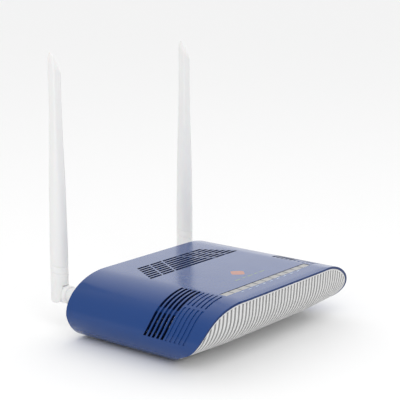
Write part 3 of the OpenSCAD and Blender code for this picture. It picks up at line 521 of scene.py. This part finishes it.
def shell():
    """The shell as a grid over the outer surface, whose cells are sunk or cut through for the slots."""
    s = Solid()
    lines = shell_lines()
    names = {name: k for k, (_, name) in enumerate(lines) if name}
    depths, slot_at, row_at = shell_stations()
    first_slot = depths[slot_at[-1]]
    low_line = names["slot_low"]
    x_low, z_low = lines[low_line][0](0, 0)
    slot_front = float(front_depth(x_low, z_low))
    lamp_low, lamp_high = slot_at[-1], slot_at[-2] + 1
    lamp_shift = {lamp_low: LAMP_MID - LAMP_OPENING / 2 - depths[lamp_low],
                  lamp_high: LAMP_MID + LAMP_OPENING / 2 - depths[lamp_high]}
    blind_at = {j + side: 1 - 2 * side for j in slot_at[OPEN_SLOTS:] for side in (0, 1)}

    def depth_at(line, j):
        x, z = lines[line][0](0, 0)
        edge, level = float(front_depth(x, max(z, UNDER_EDGE))), max(z, SLOT_LOW)
        bend = max(0, SLOT_BEND_FROM - level) ** 2 * SLOT_BEND
        fade = np.clip((SLOTS_FADE - depths[j]) / (SLOTS_FADE - REAR_SLOT - SLOT_W), 0, 1)
        first, y = first_slot + bend, depths[j] + bend * fade
        if line < low_line:
            squeeze = (DEPTH - edge) / (DEPTH - slot_front)
            first, y = edge + (first - slot_front) * squeeze, edge + (y - slot_front) * squeeze
        if depths[j] < first_slot:
            y = edge + (first - edge) * depths[j] / first_slot
        if names["split_high"] <= line <= names["slot_top"]:
            y += BLIND_NARROWER * blind_at.get(j, 0)
        elif names["slot_low"] <= line <= names["split_low"]:
            y += FAINT_NARROWER * blind_at.get(j, 0)
        if line >= names[f"vent_{LAMP_EDGE_X}"]:
            y += lamp_shift.get(j, 0)
        return y

    right, count = len(lines), len(depths)
    across = 2 * right - 1      # the middle line is shared
    layers = (0.0, FAINT_DEPTH, BLIND_DEPTH, WALL)
    points = {}

    def node(i, j, layer):
        """The vertex on line i (0 is the right-hand underside), station j and layer."""
        if (i, j, layer) not in points:
            line, side = (i, 1) if i < right else (across - 1 - i, -1)
            y = depth_at(line, j)
            inset = RIM_WALL if layer == OPEN and depths[j] < RIM_DEEP else layers[layer]
            x, z = lines[line][0](y, inset)
            if y < CREASE and layer < OPEN:
                z = min(z, BODY_H - inset - LIP_DROP * (1 - y / CREASE))
            points[i, j, layer] = s.point(side * x, FRONT + y, UNDER + z)
        return points[i, j, layer]

    deep = np.full((across - 1, count - 1), FLUSH)

    def sink(name_a, name_b, j, level):
        a, b = names[name_a], names[name_b]
        deep[a:b, j] = level
        deep[across - 1 - b:across - 1 - a, j] = level

    for k, j in enumerate(slot_at):
        if k < OPEN_SLOTS:
            sink("slot_low", "slot_top", j, OPEN)
            sink("bridge_low", "bridge_high", j, BLIND)
        else:
            sink("slot_low", "split_low", j, FAINT)
            sink("split_high", "slot_top", j, BLIND)
    vent = [f"vent_{x}" for x in VENT_EDGES]
    for j in row_at:
        sink(vent[0], vent[1], j, OPEN)
        sink(vent[2], vent[3], j, OPEN)
        deep[names[vent[4]]:across - 1 - names[vent[4]], j] = OPEN
    lamp_line = names[f"vent_{LAMP_EDGE_X}"]
    deep[lamp_line:across - 1 - lamp_line, lamp_low:lamp_high] = OPEN

    open_slots = set(slot_at[:OPEN_SLOTS])
    holes = button_holes(s, node, depth_at, lines, count)
    for i in range(across - 1):
        for j in range(count - 1):
            if (i, j) in holes:
                continue
            level = deep[i, j]
            if level < OPEN:
                # the recessed bridges of the open slots, and the whole inner surface, take the darker blue
                # of painted shade
                s.face(node(i, j, level), node(i + 1, j, level), node(i + 1, j + 1, level),
                       node(i, j + 1, level),
                       slot=SHADE_PAINT if level == BLIND and j in open_slots else PLAIN)
                s.face(node(i, j, OPEN), node(i, j + 1, OPEN), node(i + 1, j + 1, OPEN),
                       node(i + 1, j, OPEN), slot=SHADE_PAINT)
    walls(s, node, deep)

    rear = count - 1
    for i in range(across - 1):           # the rim at the front and the edge at the rear
        # the front rim face takes the darker blue of painted shade
        for j, paint in ((0, SHADE_PAINT), (rear, PLAIN)):
            s.face(node(i, j, FLUSH), node(i + 1, j, FLUSH), node(i + 1, j, OPEN), node(i, j, OPEN),
                   slot=paint)
        s.bevel_edge(node(i, 0, FLUSH), node(i + 1, 0, FLUSH), RIM_SOFT)
        s.bevel_edge(node(i, 0, OPEN), node(i + 1, 0, OPEN), RIM_INNER_SOFT)
        s.bevel_edge(node(i, rear, FLUSH), node(i + 1, rear, FLUSH), EDGE_SOFT)
    for j in range(rear):                 # the long edges on the underside
        for i in (0, across - 1):
            s.face(node(i, j, FLUSH), node(i, j + 1, FLUSH), node(i, j + 1, OPEN), node(i, j, OPEN))
            s.bevel_edge(node(i, j, FLUSH), node(i, j + 1, FLUSH), EDGE_SOFT)
    obj = s.piece("shell", [MATERIALS["blue_shell"], SHADE_BLUE, SLOT_SHADE_BLUE], sharp=SHELL_SHARP)
    bevel(obj, SHELL_BEVEL, 3, by_weight=True)
    return bake(obj)


def walls(s, node, deep):
    """Upright faces between cells that lie at different depths. Those that reach a cut-through opening get a
    near-black blue of painted shade.
    """
    for (i, j), level in np.ndenumerate(deep):
        corner = (i + 1, j + 1)
        for ni, nj in ((i + 1, j), (i, j + 1)):
            if ni >= deep.shape[0] or nj >= deep.shape[1] or level == deep[ni, nj]:
                continue
            a, b = (ni, nj), corner
            low, high = sorted((level, deep[ni, nj]))
            for layer in range(low, high):
                s.face(node(*a, layer), node(*b, layer), node(*b, layer + 1), node(*a, layer + 1),
                       slot=SLOT_SHADE_PAINT if high == OPEN else PLAIN)
            if low == FLUSH:
                s.bevel_edge(node(*a, FLUSH), node(*b, FLUSH), SLOT_SOFT)


def button_holes(s, node, depth_at, lines, count):
    """Round holes for the two side buttons. Returns the cells of the grid that they take up."""
    taken = set()
    margin = BUTTON_HOLE_MARGIN
    for name in ("wifi_button", "wps_button"):
        low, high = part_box(name)
        y_mid = (low.y + high.y) / 2 / MM - FRONT
        z_mid = (low.z + high.z) / 2 / MM - UNDER
        heights = [lines[k][0](0, 0)[1] for k in range(len(lines))]
        i0 = max(k for k, z in enumerate(heights) if z < z_mid - margin)
        i1 = min(k for k, z in enumerate(heights) if z > z_mid + margin)
        depths = [depth_at((i0 + i1) // 2, j) for j in range(count)]
        j0 = bisect.bisect(depths, y_mid - margin) - 1
        j1 = bisect.bisect(depths, y_mid + margin)
        taken |= {(i, j) for i in range(i0, i1) for j in range(j0, j1)}
        edge = [(i, j0) for i in range(i0, i1)] + [(i1, j) for j in range(j0, j1)]
        edge += [(i, j1) for i in range(i1, i0, -1)] + [(i0, j) for j in range(j1, j0, -1)]
        rims = []
        for layer, inset in ((FLUSH, 0.0), (OPEN, WALL)):
            outer = [node(i, j, layer) for i, j in edge]
            turns = [math.atan2(s.points[p][2] - UNDER - z_mid, s.points[p][1] - FRONT - y_mid)
                     for p in outer]
            rings = [outer]
            for r in (BUTTON_HOLE_R + BUTTON_HOLE_EDGE, BUTTON_HOLE_R):
                rings.append([s.point(float(wall_x(z_mid + r * math.sin(a), inset)),
                                      FRONT + y_mid + r * math.cos(a), UNDER + z_mid + r * math.sin(a))
                              for a in turns])
            s.loft(rings)
            rims.append(rings[-1])
        s.loft(rims)
        for a, b in zip(rims[0], rims[0][1:] + rims[0][:1]):
            s.bevel_edge(a, b, BUTTON_SOFT)
    return taken


shell_piece = shell()
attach(shell_piece, "case")
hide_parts("top_shell")


# ---- ribbed fascia ----

RIB_PITCH, GROOVE_HALF, GROOVE_DEEP = 3.93, 0.86, 1.3
FASCIA_T = 2.2
BORDER, BORDER_FADE = 1.1, 0.25    # plain border round the ribs, and the length the grooves fade over
FADE_FROM, FADE_OVER = 2.5, 6      # heights over which the grooves fade in above the underside
GROOVE_SHAPE = ([0, GROOVE_HALF, GROOVE_HALF + 0.05, GROOVE_HALF + 0.16], [1, 1, 0.12, 0])
SUNK_SHARE = 0.3                   # a face deeper than this share of a groove is painted grey
GAP_FROM, GAP_TO = 77, 82          # the gap to the shell opens between these places along the front
TAB_CLEARANCE, TRAY_END = 0.2, 2.5 # how the lower edge keeps clear of the tray's tabs and its ends
ROUND_END_TURNS = np.arange(0, 13, 1)    # degrees of the end curve with a column each
SAMPLES, INNER_ROWS = 160, 34      # points along a column that are measured, and rows that are made
BORDER_ROWS = np.array([0, 0.4, 0.75, 1.0, 1.2, 1.45, 1.8])    # rows near the two edges
SHORT_COLUMN = 9                   # a column shorter than this has its border rows closer together


def smooth_step(x):
    x = np.clip(x, 0, 1)
    return x * x * (3 - 2 * x)


def groove(x):
    """Share of the full groove depth at x, from 0 on a rib to 1 in a groove."""
    middle = (np.round(x / RIB_PITCH - 0.5) + 0.5) * RIB_PITCH
    return np.interp(np.abs(x - middle), *GROOVE_SHAPE)


def fascia():
    """A curved sheet with upright grooves, as a grid of columns that each run down the front."""
    steps = GROOVE_SHAPE[0][1:] + [RIB_PITCH / 4]
    offsets = [-o for o in steps[::-1]] + [0] + steps + [RIB_PITCH / 2]
    half = HALF_W - FASCIA_GAP
    tips = [half * math.cos(math.radians(a)) for a in ROUND_END_TURNS]
    ribs = math.ceil(half / RIB_PITCH)
    columns = {round((k + 0.5) * RIB_PITCH + o, 3) for k in range(-ribs, ribs) for o in offsets}
    columns = {x for x in columns if abs(x) < tips[-1]} | {q * t for q in (-1, 1) for t in tips}
    columns = np.array(sorted(columns))
    tray_edge = np.interp(TRAY_FRONT - TAB_CLEARANCE - FASCIA_SET_BACK - front_sweep(columns),
                          PROFILE[:, 0], PROFILE[:, 1])
    under = np.where(np.abs(columns) < TRAY_HALF - TRAY_END, tray_edge, UNDER_EDGE)
    gap = np.interp(np.abs(columns), [GAP_FROM, GAP_TO], [UNDER_EDGE, FASCIA_GAP])
    curve = np.where(np.abs(columns) < HALF_W - LOWER_REACH, 0, low_height(columns, gap))
    low, high = np.maximum(curve, under), top_height(columns, FASCIA_GAP)
    border = np.concatenate([np.stack([columns, low], 1), np.stack([columns, high], 1)])

    s = Solid()
    fronts, backs, dips = [], [], []
    for x, z0, z1 in zip(columns, low, high):
        zs = np.linspace(z1, z0, SAMPLES)
        ys = front_depth(x, zs) + FASCIA_SET_BACK
        run = np.concatenate([[0], np.cumsum(np.hypot(np.diff(zs), np.diff(ys)))])
        rim = BORDER_ROWS * min(1.0, run[-1] / SHORT_COLUMN)
        inner = np.linspace(rim[-1], run[-1] - rim[-1], INNER_ROWS)[1:-1]
        marks = np.concatenate([rim, inner, (run[-1] - rim)[::-1]])
        z, y = np.interp(marks, run, zs), np.interp(marks, run, ys)
        slope = 0 * z
        if run[-1] > 0.1:      # the tiny ramp keeps points apart that would fall together
            slope = np.interp(marks, run, np.gradient(ys, run + 1e-9 * np.arange(SAMPLES)))
        rise = np.sqrt(np.clip(1 - slope ** 2, 0, 1))       # inward is (rise, slope) in depth and height
        clear = np.min(np.hypot(border[:, :1] - x, border[:, 1:] - z), axis=0)
        fade = np.clip((clear - BORDER) / BORDER_FADE, 0, 1) * smooth_step((z - FADE_FROM) / FADE_OVER)
        dip = GROOVE_DEEP * float(groove(np.array(x))) * fade
        dips.append(dip)
        for rings, depth in ((fronts, dip), (backs, np.full_like(dip, FASCIA_T))):
            rings.append(s.ring([(x, FRONT + a + r * d, UNDER + b + q * d)
                                 for a, b, r, q, d in zip(y, z, rise, slope, depth)]))
    for a, b, dip_a, dip_b in zip(fronts, fronts[1:], dips, dips[1:]):
        for k in range(len(a) - 1):
            # faces deep in a groove take the grey of painted shade
            sunk = (dip_a[k] + dip_a[k + 1] + dip_b[k] + dip_b[k + 1]) / 4 > GROOVE_DEEP * SUNK_SHARE
            s.face(a[k], a[k + 1], b[k + 1], b[k], slot=int(sunk))
    s.loft([b[::-1] for b in backs], closed=False)
    for a in (0, -1):
        s.loft([[f[a] for f in fronts], [k[a] for k in backs]], closed=False)
    for column in (0, -1):
        s.loft([fronts[column], backs[column]], closed=False)
    return s.piece("fascia", [MATERIALS["white_case"], GROOVE_SHADE_GREY], weld=FASCIA_WELD, sharp=FASCIA_SHARP)


fascia_piece = fascia()
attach(fascia_piece, "case")
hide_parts("front_fascia")


# ---- antennas; heights are above the pivot ----

# height, half width, half depth and squareness of the blade
STATIONS = [(36, 6.85, 6.85, 2.0), (45, 6.75, 6.7, 2.02), (60, 6.45, 6.3, 2.15), (76, 6.1, 5.9, 2.35),
            (92, 5.65, 5.3, 2.7), (108, 5.05, 4.6, 3.2), (124, 4.55, 4.0, 3.9), (140, 4.2, 3.65, 4.6),
            (155, 4.05, 3.5, 5.2), (163, 4.05, 3.5, 5.4)]
SIDES = 64
BLADE_TOP = STATIONS[-1][0]
TIP_EDGE, TIP_X, TIP_Y = 172.6, -0.81, 0.79   # the oblique crease: its height in the middle, its slopes
TIP_RISE, TIP_CROWN = 7.2, 2.2                # the cap above it, and how flat its crown is
PEAK_X, PEAK_Y = -1.7, 1.5
FOOT_ROUND, FOOT_STEPS = 1.9, 16     # the rounding of the foot's rim
FOOT_HEIGHTS, NECK_HEIGHTS = [4, 8, 11], [25.5, 30, 35]
LINES, LINE_DEEP = [17.4, 22.9], 0.32         # two fine grooves round the foot
LINE_STEPS = (-2, -0.36, -0.18, 0.18, 0.36)   # levels round each of them
LINE_TILT = math.tan(math.radians(17))
FORK_HALF, FORK_TOP, FORK_REACH = 3.15, 7.0, 10   # the slot that takes the hinge tongue


def catmull(table, z):
    """Smooth interpolation of a table whose first column is height."""
    table = np.array(table, float)
    zs = table[:, 0]
    z = min(max(z, zs[0]), zs[-1])
    k = min(max(int(np.searchsorted(zs, z)) - 1, 0), len(zs) - 2)
    t = (z - zs[k]) / (zs[k + 1] - zs[k])
    p0, p1, p2, p3 = (table[min(max(i, 0), len(zs) - 1), 1:] for i in (k - 1, k, k + 1, k + 2))
    return 0.5 * (2 * p1 + (p2 - p0) * t + (2 * p0 - 5 * p1 + 4 * p2 - p3) * t ** 2
                  + (3 * p1 - p0 - 3 * p2 + p3) * t ** 3)


def section(hx, hy, power):
    """A superellipse as SIDES points."""
    def bulge(share):
        return math.copysign(abs(share) ** (2 / power), share)

    turns = [2 * math.pi * k / SIDES for k in range(SIDES)]
    return [(hx * bulge(math.cos(a)), hy * bulge(math.sin(a))) for a in turns]


def antenna(side):
    """The cover: a round forked foot that is drawn out into a squarish blade with an oblique tip."""
    body = f"{side}_antenna"
    low, high = (np.array(c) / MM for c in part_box(f"{side}_antenna_cover"))
    radius = (high[0] - low[0]) / 2
    mid_x, mid_y = (low[0] + high[0]) / 2, (low[1] + high[1]) / 2
    pivot = low[2] + radius
    s = Solid()

    def put(points):
        return s.ring([(mid_x + x, mid_y + y, pivot + z) for x, y, z in points])

    rings = []
    for k in range(FOOT_STEPS + 1):
        b = math.radians(90 - 90 * k / FOOT_STEPS)
        z, reach = -radius * math.sin(b), radius * math.cos(b)
        over = max(0.0, (abs(z) - (radius - FOOT_ROUND)) / FOOT_ROUND)
        wide = radius - FOOT_ROUND * (1 - math.sqrt(max(0.0, 1 - over ** 2)))
        rings.append(put([(wide / radius * x, max(-reach, min(reach, y)), z)
                          for x, y in section(radius, radius, 2)]))
    for z in FOOT_HEIGHTS + [line + step for line in LINES for step in LINE_STEPS] + NECK_HEIGHTS:
        tilt = LINE_TILT * smooth_step((z - 6) / 9) * (1 - smooth_step((z - 24) / 11))
        wide = radius - (LINE_DEEP if any(abs(z - line) < 0.25 for line in LINES) else 0.0)
        rings.append(put([(x, y, z + tilt * y) for x, y in section(wide, wide, 2)]))
    for z in range(40, BLADE_TOP + 1, 4):
        rings.append(put([(x, y, z) for x, y in section(*catmull(STATIONS, z))]))
    outline = section(*catmull(STATIONS, BLADE_TOP))

    def edge_height(x, y):
        return TIP_EDGE + TIP_X * x + TIP_Y * y

    for share in (0.3, 0.6, 0.85, 1.0):
        rings.append(put([(x, y, BLADE_TOP + (edge_height(x, y) - BLADE_TOP) * share) for x, y in outline]))
    for share in (0.995, 0.93, 0.8, 0.62, 0.42, 0.2):
        spots = [(x * share + PEAK_X * (1 - share), y * share + PEAK_Y * (1 - share)) for x, y in outline]
        rings.append(put([(x, y, edge_height(x, y) + TIP_RISE * (1 - share ** TIP_CROWN))
                          for x, y in spots]))
    s.loft(rings)
    s.cap(rings[0][::-1])
    s.cap(rings[-1])
    obj = s.piece(f"{side}_cover", [MATERIALS["antenna_white"]], weld=ANTENNA_WELD, sharp=ANTENNA_SHARP)

    cut(obj, block("fork", (mid_x - FORK_HALF, mid_y - FORK_REACH, pivot - FORK_REACH),
                   (mid_x + FORK_HALF, mid_y + FORK_REACH, pivot + FORK_TOP)))
    tidy(obj.data, ANTENNA_WELD, ANTENNA_SHARP)
    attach(obj, body)
    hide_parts(f"{side}_antenna_cover")


for side in ("left", "right"):
    antenna(side)


# ---- printed marks on the top ----

FILM_SUNK, FILM = 0.02, 0.03    # how far the print reaches into the top, and its thickness
CORNER_STEPS = 5


def decal(name, outline, paint):
    """A thin printed film on the flat top, from an outline of (x, depth) points."""
    s = Solid()
    low = UNDER + BODY_H - FILM_SUNK
    s.prism([(x, FRONT + y) for x, y in outline], low, low + FILM)
    obj = s.piece(name, [paint])
    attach(obj, "case")


def rounded_box(x, y, w, d, r, turn=0.0):
    """Outline of a rectangle with round corners about (x, y), turned by some degrees."""
    c, q = math.cos(math.radians(turn)), math.sin(math.radians(turn))
    out = []
    for cx, cy, start in ((w / 2 - r, d / 2 - r, 0), (r - w / 2, d / 2 - r, 90), (r - w / 2, r - d / 2, 180),
                          (w / 2 - r, r - d / 2, 270)):
        for k in range(CORNER_STEPS):
            a = math.radians(start + 90 * k / (CORNER_STEPS - 1))
            px, py = cx + r * math.cos(a), cy + r * math.sin(a)
            out.append((x + px * c - py * q, y + px * q + py * c))
    return out


decal("diamond_mark", rounded_box(0, 45.6, 10, 10, 2.2, 45), PRINT_ORANGE)
for k, width in enumerate((6.5, 4.0, 6.5, 4.0, 6.5)):
    decal(f"accent_bar_{k + 1}", rounded_box(-15 + k * 7.5, 34.1, width, 1.3, 0.6), PRINT_GREEN)
for k in range(9):
    decal(f"lamp_legend_{k + 1}", rounded_box(-37 + k * 8.75, 13.3, 3.4, 0.8, 0.35), PRINT_PALE)


# ---- painted shade between the lamp windows ----
WINDOWS = 11
STRIP_HALF, STRIP_SHORT, STRIP_DEEP, STRIP_SUNK = 0.33, 0.1, 0.77, 0.01
STRIP_FILM_HALF, STRIP_FILM = 0.48, (0.002, 0.022)    # half width, and its heights above the windows


def separators():
    """Strips of painted shade in the notches between the lamp windows, each under a thin dark film of
    painted shade.
    """
    low, high = (np.array(c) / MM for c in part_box("light_guide"))
    front, rear, top = low[1], high[1], high[2]
    pitch = (high[0] - low[0]) / WINDOWS
    s = Solid()
    for k in range(1, WINDOWS):
        x = low[0] + k * pitch
        s.prism(rectangle((x - STRIP_HALF, front + STRIP_SHORT), (x + STRIP_HALF, rear - STRIP_SHORT)),
                top - STRIP_DEEP, top - STRIP_SUNK)
        s.prism(rectangle((x - STRIP_FILM_HALF, front), (x + STRIP_FILM_HALF, rear)),
                top + STRIP_FILM[0], top + STRIP_FILM[1])
    obj = s.piece("lamp_separator_shade", [SEPARATOR_SHADE])
    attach(obj, "case")


separators()


# ---- CAD nodes that show, with softened edges ----

WELD = 0.002    # points closer than this become one


def soften(node, width):
    obj = frame["nodes"][node]
    weld = obj.modifiers.new("weld", "WELD")
    weld.merge_threshold = WELD * MM
    bevel(obj, width)


for node, width in (("light_guide", 0.18), ("rear_panel", 0.25), ("base_tray", 0.3), ("lan_jacks", 0.2),
                    ("phone_jack", 0.2), ("usb_socket", 0.12), ("usb_tongue", 0.12),
                    ("dc_socket", 0.2), ("power_button", 0.35), ("fibre_adapter", 0.2),
                    ("wifi_button", 0.3), ("wps_button", 0.3), ("left_swivel", 0.3),
                    ("right_swivel", 0.3), ("rubber_feet", 0.3)):
    soften(node, width)


# ---- floor, light and camera ----

FLOOR_HALF = 14000


def stage():
    s = Solid()
    s.cap(s.ring([(x, y, 0) for x, y in rectangle((-FLOOR_HALF, -FLOOR_HALF), (FLOOR_HALF, FLOOR_HALF))]))
    floor = s.piece("floor", [material("pale_floor", (0.96, 0.96, 0.96), 0.9, mottle=0.0)])


def soft_light(name, place, target, size, power):
    data = bpy.data.lights.new(name, "AREA")
    data.shape = "RECTANGLE"
    data.size, data.size_y = size
    data.energy = power
    lamp = bpy.data.objects.new(name, data)
    bpy.context.scene.collection.objects.link(lamp)
    lamp.location = place
    lamp.rotation_euler = (Vector(target) - Vector(place)).to_track_quat("-Z", "Y").to_euler()


BRIGHTENS = 0.2, 0.9    # how far towards the bright side the brightening starts and is full


def world(strength, far_strength, towards):
    """White surroundings, brighter on the far side of the studio."""
    w = bpy.data.worlds.new("studio")
    bpy.context.scene.world = w
    w.use_nodes = True
    nodes, links = w.node_tree.nodes, w.node_tree.links
    background = nodes["Background"]
    background.inputs["Color"].default_value = (1, 1, 1, 1)
    place, dot = nodes.new("ShaderNodeTexCoord"), nodes.new("ShaderNodeVectorMath")
    dot.operation = "DOT_PRODUCT"
    dot.inputs[1].default_value = towards
    spread = nodes.new("ShaderNodeMapRange")
    spread.interpolation_type = "SMOOTHSTEP"
    spread.inputs["From Min"].default_value, spread.inputs["From Max"].default_value = BRIGHTENS
    spread.inputs["To Min"].default_value = strength
    spread.inputs["To Max"].default_value = far_strength
    links.new(place.outputs["Generated"], dot.inputs[0])
    links.new(dot.outputs["Value"], spread.inputs["Value"])
    links.new(spread.outputs["Result"], background.inputs["Strength"])


stage()
world(strength=0.75, far_strength=1.5, towards=(0.78, 0.62, 0.1))
soft_light("key", place=(-0.9, -0.9, 1.3), target=(0, 0, 0.05), size=(1.2, 1.2), power=9)

CAMERA_AT = (-0.6727, -0.5386, 0.2821)
CAMERA_TURN, CAMERA_DOWN = 51.37, 12.0
LENS = 104.2

camera = bpy.data.objects.new("camera", bpy.data.cameras.new("camera"))
bpy.context.scene.collection.objects.link(camera)
camera.location = CAMERA_AT
camera.rotation_euler = (math.radians(90 - CAMERA_DOWN), 0, math.radians(-CAMERA_TURN))
camera.data.lens = LENS
camera.data.clip_start, camera.data.clip_end = 0.01, 60    # metres; the floor reaches 14
bpy.context.scene.camera = camera
bpy.context.scene.view_settings.view_transform = "Standard"
